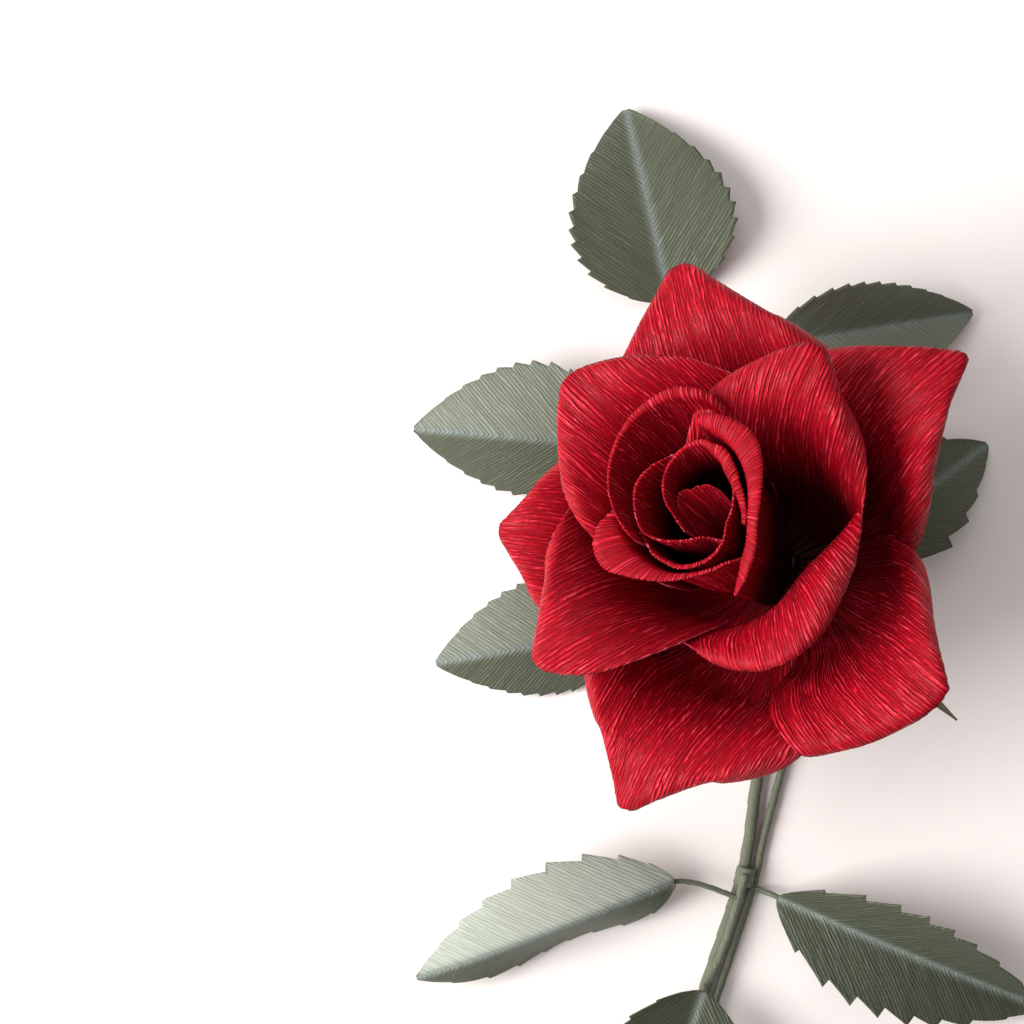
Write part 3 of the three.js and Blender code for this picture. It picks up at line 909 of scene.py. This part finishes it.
PETALS = (
    WoundPetal(
        "bud_petal_1",
        (
            (40, 4.7, 4.8, 28), (67, 4.1, 4.2, 29), (101, 2.3, 2.4, 30), (146, 3.0, 3.2, 30),
            (177, 3.6, 3.8, 29), (223, 4.3, 4.4, 27),
        ),
        bottom=12,
        base=0.6,
        foot=(1, -3),
        middle=(-10.9, 9.0),
        seed=11,
        painted_shade_span=(0.2, 0.78),
    ),
    WoundPetal(
        "bud_petal_2",
        ((230, 3.5, 3.5, 20), (290, 3.4, 3.4, 21), (350, 3.4, 3.4, 20), (400, 3.5, 3.5, 19)),
        bottom=4,
        base=0.6,
        seed=12,
        painted_shade_span=(0.3, 1.2),
    ),
    WoundPetal(
        "heart_petal",
        ((60, 4.4, 4.4, 17), (130, 4.4, 4.4, 18), (220, 4.4, 4.4, 17)),
        bottom=3,
        base=0.6,
        seed=16,
        painted_shade_span=(0.3, 1.2),
    ),
    WoundPetal(
        "inner_petal_1",
        (
            (104, 12.5, 12.5, 31.5), (120, 11.7, 11.7, 33), (142, 12.0, 12.2, 34.5),
            (161, 12.5, 12.8, 35), (187, 12.0, 12.1, 35), (206, 11.2, 11.4, 35), (234, 7.4, 7.5, 34),
            (266, 5.1, 5.2, 33), (300, 5.7, 5.8, 30),
        ),
        seed=13,
        painted_shade_span=(0.45, 0.8),
    ),
    WoundPetal(
        "inner_petal_2",
        (
            (194, 13.3, 13.3, 31), (209, 12.5, 12.5, 32), (220, 12.2, 12.6, 33), (234, 11.6, 12.2, 33),
            (248, 11.0, 11.8, 33), (278, 8.6, 9.2, 33), (297, 6.9, 7.2, 33), (328, 4.7, 4.8, 33),
            (376, 4.9, 5.0, 32), (407, 6.2, 6.3, 31),
        ),
        seed=14,
        painted_shade_span=(0.55, 0.8),
    ),
    WoundPetal(
        "inner_petal_3",
        (
            (-22, 7.4, 8.1, 33), (9, 6.6, 8.0, 34), (30, 6.7, 8.5, 35), (51, 7.4, 10, 35.5),
            (64, 8.6, 11, 35.5), (78, 9.8, 11.3, 35.5), (92, 11, 11.8, 35.5), (126, 9.7, 10, 35),
            (164, 7.4, 7.6, 34), (189, 5.9, 6, 33), (220, 5.5, 5.6, 31),
        ),
        seed=15,
        painted_shade_span=(0.58, 0.8),
    ),
    WoundPetal(
        "cup_petal_1",
        (
            (76, 17.6, 18.0, 29), (82, 18.4, 19.6, 34), (90, 19, 20.7, 36.6), (105, 19.4, 21, 37.5),
            (132, 18.8, 19.5, 37.5), (160, 17.2, 17.5, 37), (185, 15.4, 15.5, 36),
            (206, 13.6, 13.7, 34.5),
        ),
        seed=17,
    ),
    WoundPetal(
        "cup_petal_2",
        (
            (160, 18.8, 18.9, 29), (174, 17.4, 17.8, 30), (190, 16.4, 20.7, 31.5), (199, 15.8, 21.6, 32),
            (210, 15.2, 21.3, 32), (221, 14.4, 18.6, 32), (240, 13.2, 15.2, 32.5), (262, 11.7, 12.5, 33),
            (289, 10.6, 11.0, 33), (306, 10.4, 10.6, 31),
        ),
        seed=18,
    ),
    WoundPetal(
        "cup_petal_3",
        (
            (-72, 15.6, 16.2, 31), (-62, 13.6, 15.8, 33), (-49, 11.8, 14.6, 34.5), (-20, 9.6, 11.8, 36),
            (6, 9.4, 12.1, 36.5), (31, 10.3, 14.4, 37), (46, 11.1, 15.9, 37), (61, 12, 16.2, 37),
            (82, 13.5, 15.9, 37), (92, 14.6, 15.2, 36.5),
        ),
        seed=19,
        painted_shade_span=(0.42, 0.85),
    ),
    OpenPetal(
        "middle_petal_1", FLARED, 137, Side(26, Roll(0.75, 3, 0.7)), Side(26, Roll(0.645, 3, 0.7)),
        pitch=4.0, power=1.9, seed=21, shade_reach=0.45,
    ),
    OpenPetal(
        "middle_petal_2", RISING, 66, Side(16, Roll(0.5, 4, 1)), Side(23, Roll(0.67, 3)),
        length=0.86, pitch=4.0, seed=22,
    ),
    OpenPetal(
        "middle_petal_3", CLASPED, 288,
        Side(15.5, Roll(0.8, 2.5, 1), widest=1.0, shoulder=0.7, fan=2.0),
        Side(26.5, Roll(0.62, 5.5, 2), widest=1.0, shoulder=0.6, fan=1.6),
        length=0.91, pitch=4.5, flare=4.0, stand_off=0.6, seed=23,
    ),
    OpenPetal(
        "middle_petal_4", FLARED, 213, Side(27, Roll(0.68, 3, 0.7)), Side(13.5, Roll(0.7, 3, 0.7)),
        pitch=9.0, power=1.9, seed=24, shade_reach=0.12,
    ),
    OpenPetal(
        "outer_petal_1", FLAT, 105, Side(27, Roll(0.54, 3.5)), Side(27, Roll(0.54, 3.5, 2)),
        length=1.04, stand_off=2.4, seed=31, shade_reach=0.3,
    ),
    OpenPetal(
        "outer_petal_2", FLAT, 41, Side(19.5, Roll(0.28, 2.5, 0.7)), Side(27, Roll(0.54, 3, 0.7)),
        length=0.98, stand_off=1.2, seed=32,
    ),
    OpenPetal(
        "outer_petal_3", FLAT, 322,
        Side(26.5, Roll(0.84, 2, 0.7), widest=0.9, shoulder=0.86, fan=1.4), Side(19.5, Roll(0.36, 3, 0.7)),
        length=0.87, seed=33,
    ),
    OpenPetal(
        "outer_petal_4", FLAT, 243, Side(27, Roll(0.42, 3, 0.7)), Side(27, Roll(0.54, 3.5, 0.7)),
        length=1.02, stand_off=4.8, seed=34, shade_reach=0.15,
    ),
    OpenPetal(
        "outer_petal_5", FLAT, 175, Side(23, Roll(0.56, 3.5, 0.7)), Side(20, Roll(0.69, 3.5, 0.7)),
        length=0.93, stand_off=3.6, seed=35, shade_reach=0.3,
    ),
)


@dataclass(frozen=True)
class Lie:
    """How the rose lies: where its modelling origin is, and how the bloom stands on its bent neck."""

    origin: Array
    base: Place = (49.0, -9.0, 30.0)
    tilt: float = 18.0  # from upright
    towards: float = 150.0  # the azimuth that it leans to

    def turned(self) -> Array:
        """How the bloom is turned: upright, tipped by the tilt about a level axis.

        Returns:
            the bloom's three axes as the columns of a matrix, by Rodrigues' formula.
        """
        tilt, way = math.radians(self.tilt), math.radians(self.towards)
        level = np.array([-math.sin(way), math.cos(way), 0.0])
        cross = np.array([[0, -level[2], level[1]], [level[2], 0, -level[0]], [-level[1], level[0], 0]])
        return np.eye(3) + math.sin(tilt) * cross + (1 - math.cos(tilt)) * cross @ cross

    def bloom(self, points: Array) -> Array:
        """Points in the bloom's frame, carried to where the bloom is."""
        return points @ self.turned().T + np.array(self.base) + self.origin


@dataclass
class Bloom:
    """All the petals."""

    lie: Lie
    paper: float = 0.36

    def build(self, petal_paper: bpy.types.Material, edge: bpy.types.Material) -> None:
        """Makes and dresses each petal.

        Args:
            petal_paper: the material of a petal's faces.
            edge: that of its cut edge.
        """
        for petal in PETALS:
            points, sheet, values = petal.surface()
            made = mesh_object(petal.name + "_crepe", self.lie.bloom(points), sheet, values)
            thicken(made, self.paper)
            place_piece(made, Slot.PETAL, petal_paper, edge, node=petal.name)


# ---------------------------------------------------------------- leaves and stem


@dataclass(frozen=True)
class Leaflet:
    """A serrated leaf cut from crepe, folded along its midrib.

    The slopes are those of its halves to the left and right of the midrib, looking from the base to the
    tip: a half rises away from the midrib by its slope, or falls if that is below 0.
    """

    name: str
    base: Place
    tip: Place
    half: float
    slopes: tuple[float, float]
    bow: float  # how far the midrib arches up between its ends
    seed: int
    teeth: float = 12
    tooth: float = 0.05  # depth, as a share of the half width
    light_and_shade: tuple[float, float] = (0.0, 0.0)  # painted light (above 0) or painted shade (below 0) on the left and right halves
    twist: float = 0.0  # degrees by which the left half's slope swings to and fro along the leaf

    COLUMNS = 41
    ROWS = 130
    TOOTHED = 0.7  # the share of the half width where the teeth begin to show
    SWEEP = 0.18  # how far a half sweeps back for each millimetre across, at the base
    FOLD = 0.5  # how rounded the fold is
    VEIN_SPACING = 0.9
    VEIN_RUN = 6
    VEIN_HEIGHT = 0.22
    RIPPLE = 0.5  # of the leaf's edge, up and down
    RIB = 0.9  # half the width of the midrib
    LIGHTING_EASE = 1.5  # the width over which one half's painted light or shade goes over to the other's

    def reach(self, v: Array, u: Array) -> Array:
        """How far the leaf reaches from its midrib.

        The half width goes as sin(pi v^0.85)^0.9. Each side's outer part is divided into teeth, of uneven
        length, that rise slowly and end abruptly.

        Args:
            v: along the leaf, from 0 at the base to 1 at the tip.
            u: across it, from -1 to 1.

        Returns:
            the distance from the midrib, measured along the paper.
        """
        width = self.half * (0.03 + 0.97 * np.clip(np.sin(np.pi * v**0.85), 0, 1) ** 0.9)
        draw = np.random.default_rng(self.seed)
        phase = np.where(u > 0, draw.random(), draw.random())
        place = v * self.teeth + phase + 0.25 * np.sin(7 * v + 3 * phase)
        rest = 1 - (place - np.floor(place))
        fade = np.clip(np.sin(np.pi * np.clip(v * 1.05, 0, 1)), 0, 1) ** 0.4
        depth = self.tooth * 1.6 * rest**0.8 * fade
        outer = np.clip((np.abs(u) - self.TOOTHED) / (1 - self.TOOTHED), 0, 1)
        return width * np.abs(u) * (1 - depth * outer)

    def rise(self, v: Array, u: Array, reach: Array, slope: Array) -> Array:
        """How far each point is above the line from base to tip.

        Args:
            v: along the leaf.
            u: across it.
            reach: the distance from the midrib.
            slope: of the half that the point is on, in radians.

        Returns:
            the slope's rise, with the fold rounded, the arch 4 bow v (1 - v), and the ripple at the edge.
        """
        folded = (np.sqrt(reach**2 + self.FOLD**2) - self.FOLD) * np.sin(slope)
        ripple = self.RIPPLE * np.abs(u) ** 3 * np.sin(9 * v + self.seed + np.where(u > 0, 0, 2))
        return folded + 4 * self.bow * v * (1 - v) + ripple

    def surface(self, origin: Array) -> tuple[Array, Array, dict[str, Array]]:
        """The leaf's middle surface.

        Args:
            origin: of the model.

        Returns:
            points, the sheet's coordinates along its diagonal grain, and by name the closeness to the
            midrib and the painted light or shade on each half.
        """
        base, tip = np.array(self.base), np.array(self.tip)
        along = tip - base
        long = np.linalg.norm(along)
        along = along / long
        left = np.cross(UP, along)
        left = left / np.linalg.norm(left)
        v, u = np.meshgrid(np.linspace(0, 1, self.ROWS), np.linspace(-1, 1, self.COLUMNS), indexing="ij")
        reach = self.reach(v, u)
        x = np.sign(u) * reach
        y = v * long - self.SWEEP * reach * (1 - v)
        diagonal = np.stack([y - reach, y + reach], axis=-1) / math.sqrt(2)
        veins = streaks(diagonal[..., 0], diagonal[..., 1], self.VEIN_SPACING, self.VEIN_RUN, self.seed)
        swing = self.twist * np.sin(2 * np.pi * (v - 0.2))
        slope = np.radians(np.where(u > 0, self.slopes[0] - swing, self.slopes[1]))
        up = self.rise(v, u, reach, slope) + (veins - 0.5) * self.VEIN_HEIGHT
        points = base + along * y[..., None] + left * (x * np.cos(slope))[..., None] + UP * up[..., None]
        # painted light or shade on each half, eased across the midrib
        right_lighting, left_lighting = self.light_and_shade[1], self.light_and_shade[0]
        pale = right_lighting + (left_lighting - right_lighting) * np.clip(0.5 + x / self.LIGHTING_EASE, 0, 1)
        return points + origin, diagonal, {"rib": np.exp(-((x / self.RIB) ** 2)), "pale": pale}


@dataclass(frozen=True)
class Sepal:
    """A narrow pointed sheet below the outer petals."""

    name: str
    azimuth: float
    length: float
    half: float = 3.4

    SECTION = Section(((5.6, -15.4), (10, -15.4), (22, -12), (36, -9), (54, -9)))
    ROWS = 60
    COLUMNS = 17
    CUP = 0.12  # how far the middle is hollowed, as a share of the half width
    VEIN_SPACING = 0.8
    VEIN_RUN = 6
    VEIN_HEIGHT = 0.15
    CURL = 1.2  # of the tip, up and down

    def surface(self) -> tuple[Array, Array]:
        """The sepal's middle surface.

        Its width goes as sin(pi (0.3 + 0.7 v))^1.3, which is widest near the base and comes to a point.

        Returns:
            points in the bloom's frame, and the sheet's own coordinates.
        """
        v, u = np.meshgrid(np.linspace(0, 1, self.ROWS), np.linspace(-1, 1, self.COLUMNS), indexing="ij")
        width = self.half * (0.06 + 0.94 * np.clip(np.sin(np.pi * (0.3 + 0.7 * v)), 0, 1) ** 1.3)
        x, y = u * width, v * self.length
        veins = streaks(x, y, self.VEIN_SPACING, self.VEIN_RUN, int(self.azimuth))
        out = (veins - 0.5) * self.VEIN_HEIGHT - self.CUP * width * (1 - u**2)
        out = out + self.CURL * v**2 * np.sin(5 * v + self.azimuth)
        return self.SECTION.carry(self.azimuth, x, y, out), np.stack([x, y], axis=-1)


@dataclass(frozen=True)
class Wrapped:
    """A wire wound with a narrow band of floral tape, whose turns overlap like tiles.

    The tape's turn climbs by the pitch, and each turn stands a little prouder than the last, falling
    back where the next begins: radius - step (1 - frac(distance / pitch - angle / 2 pi)).
    """

    name: str
    path: Route
    radius: float
    pitch: float = 5.5
    step: float = 0.18
    spacing: float = 0.7  # from one ring of the mesh to the next
    columns: int = 20
    taper: float = 1.0  # how thick the far end is, as a share of the near end

    SLANT = 0.6  # how far the tape's grain runs along the wire for each millimetre round it
    LEVEL = 0.9  # a wire this much of whose length is level is framed by the upright

    def surface(self, origin: Array) -> tuple[Array, Array]:
        """The tape's outside.

        Args:
            origin: of the model.

        Returns:
            points, and the tape's own coordinates, with a column more.
        """
        knots = np.array(self.path, dtype=float)
        long = reach_along(knots)[-1]
        line = even_line(knots, max(int(long / self.spacing), 8))
        tangent = np.gradient(line, axis=0)
        tangent = tangent / np.linalg.norm(tangent, axis=1, keepdims=True)
        level = reach_along(knots[:, :2])[-1] > self.LEVEL * long
        side = np.cross(tangent, UP if level else SIDEWAYS)
        side = side / np.linalg.norm(side, axis=1, keepdims=True)
        other = np.cross(side, tangent)
        reached = np.linspace(0, long, len(line))[:, None]
        angle = np.linspace(0, 2 * np.pi, self.columns, endpoint=False)[None, :]
        turns = reached / self.pitch - angle / (2 * np.pi)
        share = turns - np.floor(turns)
        thick = np.linspace(1, self.taper, len(line))[:, None]
        radius = (self.radius * thick - self.step * (1 - share))[..., None]
        across = np.cos(angle)[..., None] * side[:, None] + np.sin(angle)[..., None] * other[:, None]
        edges = np.linspace(0, 2 * np.pi, self.columns + 1)[None, :] * self.radius
        slanted = np.broadcast_arrays(edges - self.SLANT * reached, reached + self.SLANT * edges)
        return line[:, None] + radius * across + origin, np.stack(slanted, axis=-1)


# tones: painted light (above 0) and painted shade (below 0) on each half, by how the light falls on it
LEAFLETS = (
    Leaflet("leaflet_top", (31.5, 42.1, 2.4), (22.7, 80.5, 2), 17.3, (8, 10), 3, 41, light_and_shade=(-0.25, -0.25)),
    Leaflet(
        "leaflet_upper_left", (20.7, 13.1, 9), (-19.5, 16.5, 6), 15.8, (-42, -6), 4, 42,
        light_and_shade=(-0.25, 0.25),
    ),
    Leaflet(
        "leaflet_upper_right", (51.5, 33.2, 2.4), (92.2, 40, 2), 14, (50, 8), 3, 43, 13,
        light_and_shade=(0.07, 0.2),
    ),
    Leaflet("leaflet_lower_right", (62.4, -9.7, 2.4), (95.2, 13.5, 2), 14, (10, 24), 3, 44, 7, 0.12),
    Leaflet(
        "leaflet_lower_left", (23.7, -22.7, 6.5), (-15.1, -30.2, 5), 13.5, (-35, -10), 3, 45,
        light_and_shade=(-0.2, 0.25),
    ),
    Leaflet(
        "leaflet_side_left", (32.2, -73.4, 8), (-18.9, -92.8, 6), 13.5, (-58, -5), 6, 46, 9, 0.09,
        light_and_shade=(-0.4, 0.85), twist=13,
    ),
    Leaflet(
        "leaflet_side_right", (53.2, -77, 4.2), (106, -99, 2), 14.5, (50, 12), 5, 47, 9, 0.12,
        light_and_shade=(-0.5, -0.6),
    ),
    Leaflet("leaflet_end", (37.8, -95.2, 8), (19, -146, 6.4), 18, (10, 16), 4, 48, light_and_shade=(-0.55, -0.55)),
)
SEPALS = (
    Sepal("sepal_1", 95, 30),
    Sepal("sepal_2", 32, 30),
    Sepal("sepal_3", 319, 41),
    Sepal("sepal_4", 253, 30),
    Sepal("sepal_5", 184, 30),
)
STEM_RUN = (
    (55.4, -14.5, 7.2), (55.9, -21, 2.9), (54.4, -31, 1.45), (49.6, -50.9, 1.35), (47.5, -66, 1.35),
    (45.9, -73.6, 1.35), (42.9, -83.1, 1.35), (38.8, -95.2, 1.35), (31, -120, 1.35), (24, -148, 1.35),
    (20, -176, 1.35),
)
WIRE_SHOWS = 3.0  # of the stem's wire past the tape's end
UPPER_RACHIS = (
    (39.6, -101.8, 0.9), (41.5, -95.9, 0.9), (45.6, -83.9, 0.9), (48.6, -74.3, 0.9), (50.2, -66.6, 0.9),
    (51.9, -60, 0.9), (54.4, -51, 0.9), (59, -38, 0.9), (60.9, -30, 0.9), (60.5, -22, 0.9), (56.5, -11, 0.9),
    (47, 0, 0.9), (38.5, 14, 0.9), (34.5, 27, 0.9), (32, 38, 1.1),
)
LOWER_RACHIS = (
    (46.6, -72.3, 3.95), (44.6, -79.5, 3.95), (42, -87.5, 4.1), (39.8, -92, 5), (38.3, -94.4, 6.4),
)
JOINT = ((46.9, -71.2, 2.25), (46.6, -73, 2.25), (46.2, -74.8, 2.25))  # where the leaf stalks are bound on


@dataclass
class Greenery:
    """The leaves with their wires, the sepals, the hip and the taped stem."""

    lie: Lie
    paper: float = 0.36
    stem_radius: float = 1.3
    rachis_radius: float = 0.85
    leaf_wire_radius: float = 0.62

    HIP = (
        (0.9, -20.4), (2.6, -20.1), (3.6, -19.2), (4.4, -18.0), (4.8, -16.2), (4.7, -15.3), (4.2, -14.9),
        (1.0, -14.85),
    )  # radius and height, from the bottom
    HIP_ROWS = 50
    HIP_COLUMNS = 48
    HIP_PITCH = 1.6  # how far each turn of its tape climbs
    HIP_STEP = 0.16
    HIP_GRAIN = 4.0  # the radius and the stretch that its tape's own coordinates are laid out with
    HIP_STRETCH = 3.0
    NECK = -21.4  # where the stem's tape starts, on the bloom's axis
    WIRED = (0.0, 0.3, 0.6, 0.86)  # where a leaflet's wire is laid under it, as shares of its length
    WIRE_BELOW = 0.7

    def build(
        self,
        leaf_paper: bpy.types.Material,
        sepal_paper: bpy.types.Material,
        tape: bpy.types.Material,
        edge: bpy.types.Material,
    ) -> None:
        """Makes and dresses each piece.

        Args:
            leaf_paper: the material of a leaflet's faces.
            sepal_paper: that of a sepal's.
            tape: that of the wires, the hip and the stem.
            edge: that of the cut edges.
        """
        for leaflet in LEAFLETS:
            points, sheet, values = leaflet.surface(self.lie.origin)
            made = mesh_object(leaflet.name + "_crepe", points, sheet, values)
            thicken(made, self.paper)
            place_piece(made, Slot.LEAF, leaf_paper, edge, node=leaflet.name)
            self.wrap(self.leaflet_wire(leaflet), tape)
        for sepal in SEPALS:
            points, sheet = sepal.surface()
            made = mesh_object(sepal.name + "_crepe", self.lie.bloom(points), sheet)
            thicken(made, self.paper)
            place_piece(made, Slot.SEPAL, sepal_paper, edge, node=sepal.name)
        self.hip(tape)
        self.joint(tape)
        start = tuple(self.lie.bloom(UP * self.NECK) - self.lie.origin)
        self.wrap(Wrapped("stem_tape", (start, *STEM_RUN), self.stem_radius), tape)
        for name, route in (("upper_leaf_rachis", UPPER_RACHIS), ("lower_leaf_rachis", LOWER_RACHIS)):
            self.wrap(Wrapped(name, route, self.rachis_radius, 4.2, 0.1, 0.6, 16), tape)

    def leaflet_wire(self, leaflet: Leaflet) -> Wrapped:
        """The taped wire under a leaflet's midrib, from the nearest point of the leaf's own stalk.

        Args:
            leaflet: that it carries.

        Returns:
            the wire, which follows the midrib's arch, lower where the leaflet's halves are steeper.
        """
        base, tip = np.array(leaflet.base), np.array(leaflet.tip)
        upper, lower = even_line(np.array(UPPER_RACHIS), 120), even_line(np.array(LOWER_RACHIS), 40)
        stalks = np.concatenate([upper, lower])
        nearest = stalks[np.argmin(np.linalg.norm(stalks - base, axis=1))]
        v = np.array(self.WIRED)
        drop = self.WIRE_BELOW / math.cos(math.radians(max(abs(slope) for slope in leaflet.slopes)))
        under = base + (tip - base) * v[:, None] + UP * (4 * leaflet.bow * v * (1 - v) - drop)[:, None]
        route = tuple(map(tuple, [nearest, *under]))
        return Wrapped(leaflet.name + "_wire", route, self.leaf_wire_radius, 3.2, 0.08, 0.5, 12, taper=0.6)

    def wrap(self, wrapped: Wrapped, tape: bpy.types.Material) -> None:
        """Makes one taped wire.

        Args:
            wrapped: the wire.
            tape: its material.
        """
        points, sheet = wrapped.surface(self.lie.origin)
        made = mesh_object(wrapped.name + "_wrap", points, sheet, closed=True)
        place_piece(made, Slot.TAPE, tape, node=wrapped.name)

    def joint(self, tape: bpy.types.Material) -> None:
        """Makes the band of tape that binds both leaf stalks to the stem.

        Args:
            tape: its material.
        """
        band = Wrapped("leaf_joint", JOINT, 2.05, pitch=1.7, step=0.2, spacing=0.18, columns=40)
        made = mesh_object("leaf_joint_tape", *band.surface(self.lie.origin), closed=True)
        place_piece(made, Slot.TAPE, tape)

    def hip(self, tape: bpy.types.Material) -> None:
        """Winds the hip with tape: a lathed swelling whose radius steps back at each turn of the tape.

        Args:
            tape: its material.
        """
        line = smooth_line(np.array(self.HIP), self.HIP_ROWS)
        out, height = line[:, :1], line[:, 1:]
        angle = np.linspace(0, 2 * np.pi, self.HIP_COLUMNS, endpoint=False)[None, :]
        turns = (height - height[0]) / self.HIP_PITCH - angle / (2 * np.pi)
        radius = out - self.HIP_STEP * (turns - np.floor(turns))
        points = np.broadcast_arrays(radius * np.cos(angle), radius * np.sin(angle), height)
        edges = np.linspace(0, 2 * np.pi, self.HIP_COLUMNS + 1)[None, :] * self.HIP_GRAIN
        sheet = np.stack(np.broadcast_arrays(height * self.HIP_STRETCH, edges), axis=-1)
        hip = self.lie.bloom(np.stack(points, axis=-1)[::-1])
        made = mesh_object("hip_wrap_tape", hip, sheet[::-1], closed=True)
        place_piece(made, Slot.TAPE, tape, node="hip_wrap")


# ---------------------------------------------------------------- the studio


@dataclass(frozen=True)
class SoftLight:
    """A square soft light that faces the bloom."""

    name: str
    place: Place
    size: float
    power: float
    tint: tuple[float, float, float]

    def hang(self, lie: Lie) -> None:
        """Hangs the light.

        Args:
            lie: where the bloom is.
        """
        made = bpy.data.objects.new(self.name, bpy.data.lights.new(self.name, "AREA"))
        made.data.size = self.size * METRES
        made.data.energy = self.power
        made.data.color = self.tint
        aim = Vector(lie.bloom(np.zeros(3)) * METRES)
        made.location = Vector((lie.origin + np.array(self.place)) * METRES)
        made.rotation_euler = (aim - made.location).to_track_quat("-Z", "Y").to_euler()
        bpy.context.scene.collection.objects.link(made)


@dataclass(frozen=True)
class Studio:
    """The table, the camera above it and its lights."""

    lie: Lie
    camera_height: float = 575.0
    lens: float = 100.55
    air_tint: Colour = (1.0, 0.97, 0.955, 1)
    air_strength: float = 0.33
    table_paint: Colour = (0.9, 0.85, 0.835, 1)

    LIGHTS = (
        SoftLight("key", (-600, -70, 480), 560, 11.4, (1.0, 0.985, 0.97)),
        SoftLight("fill", (-60, 380, 700), 500, 1.6, (1.0, 0.97, 0.96)),
    )

    def camera(self) -> None:
        """A camera that looks straight down beside the bloom."""
        made = bpy.data.objects.new("camera", bpy.data.cameras.new("camera"))
        made.data.lens = self.lens
        made.data.sensor_width = 36
        made.location = (self.lie.origin + UP * self.camera_height) * METRES
        bpy.context.scene.collection.objects.link(made)
        bpy.context.scene.camera = made

    def table(self) -> None:
        """A wide pale table top at the height that the rose lies on."""
        bpy.ops.mesh.primitive_plane_add(size=6)
        top = bpy.context.object
        top.name = "table_top"
        paint = bpy.data.materials.new("pale table")
        paint.use_nodes = True
        shader = paint.node_tree.nodes["Principled BSDF"]
        shader.inputs["Base Color"].default_value = self.table_paint
        shader.inputs["Roughness"].default_value = 0.9
        shader.inputs["Specular IOR Level"].default_value = 0.1
        top.data.materials.append(paint)

    def build(self) -> None:
        """Lays the table and hangs the lights."""
        self.table()
        for light in self.LIGHTS:
            light.hang(self.lie)
        world = bpy.data.worlds.new("studio air")
        bpy.context.scene.world = world
        world.use_nodes = True
        air = world.node_tree.nodes["Background"]
        air.inputs["Color"].default_value = self.air_tint
        air.inputs["Strength"].default_value = self.air_strength
        bpy.context.scene.view_settings.view_transform = "Standard"


def lie_by_stem() -> Lie:
    """Finds the model's origin from the stem's cut end, which is the record's mount.

    Returns:
        the lie that puts the end of the bare wire, straight on from the stem's last leg, on the mount.
    """
    mount = np.array(frame["record"]["mounts"][0]["pos_m"]) / METRES
    before, last = np.array(STEM_RUN[-2:])
    end = last + WIRE_SHOWS * (last - before) / np.linalg.norm(last - before)
    return Lie(origin=mount - end)


# ---------------------------------------------------------------- the finishes

# in each finish the hollow is painted shade in the wrinkles' grooves, and the crest is paler stretched paper
# with a painted highlight
PETAL_CREPE = CrepeFinish(
    "crimson crepe",
    hollow=(0.13, 0.0, 0.002, 1),
    body=(0.5, 0.001, 0.012, 1),
    crest=(0.84, 0.07, 0.12, 1),
    # foot: painted shade, near black, in the hollows between the petals
    foot=(0.02, 0.0, 0.0005, 1),
)
PETAL_EDGE = CrepeFinish(
    "crimson cut edge",
    hollow=(0.4, 0.02, 0.05, 1),
    body=(0.6, 0.06, 0.1, 1),
    crest=(0.8, 0.15, 0.2, 1),
)
LEAF_CREPE = CrepeFinish(
    "leaf crepe",
    hollow=(0.088, 0.096, 0.062, 1),
    body=(0.108, 0.118, 0.08, 1),
    crest=(0.135, 0.148, 0.108, 1),
    height=0.12,
    specular_tint=(0.85, 1.0, 0.88, 1),
    sheen=0.08,
    sheen_tint=(0.7, 0.9, 0.75, 1),
    rib=(0.17, 0.2, 0.18, 1),
    # faded: painted light on the lit halves of the leaves
    painted_light=(0.4, 0.43, 0.37, 1),
)
LEAF_EDGE = CrepeFinish(
    "leaf cut edge",
    hollow=(0.06, 0.08, 0.05, 1),
    body=(0.11, 0.135, 0.09, 1),
    crest=(0.18, 0.2, 0.15, 1),
)
FLORAL_TAPE = CrepeFinish(
    "floral tape",
    hollow=(0.085, 0.105, 0.07, 1),
    body=(0.145, 0.17, 0.12, 1),
    crest=(0.23, 0.26, 0.2, 1),
    spacing=0.5,
    run=3.0,
    height=0.08,
)
COTTON = SolidFinish("spun cotton", (0.66, 0.6, 0.5, 1), (0.85, 0.8, 0.7, 1), (900, 900, 900), 0.3, 0.95)
STEEL = SolidFinish("drawn steel", (0.3, 0.3, 0.31, 1), (0.5, 0.5, 0.52, 1), (4000, 4000, 300), 0.02, 0.35, 1)


def main() -> None:
    """Builds the studio and the rose, in order."""
    logging.basicConfig(level=logging.INFO, format="%(message)s")
    lie = lie_by_stem()
    studio = Studio(lie)
    studio.camera()
    grain = CrepeGrain().group()
    finishes = (PETAL_CREPE, PETAL_EDGE, LEAF_CREPE, LEAF_EDGE, FLORAL_TAPE)
    petal, petal_edge, leaf, leaf_edge, tape = (finish.material(grain) for finish in finishes)
    Bloom(lie).build(petal, petal_edge)
    dress_node("bud_core", COTTON.material())
    dress_node("stem_wire", STEEL.material())
    Greenery(lie).build(leaf, leaf, tape, leaf_edge)
    studio.build()


if __name__ == "__main__":
    main()
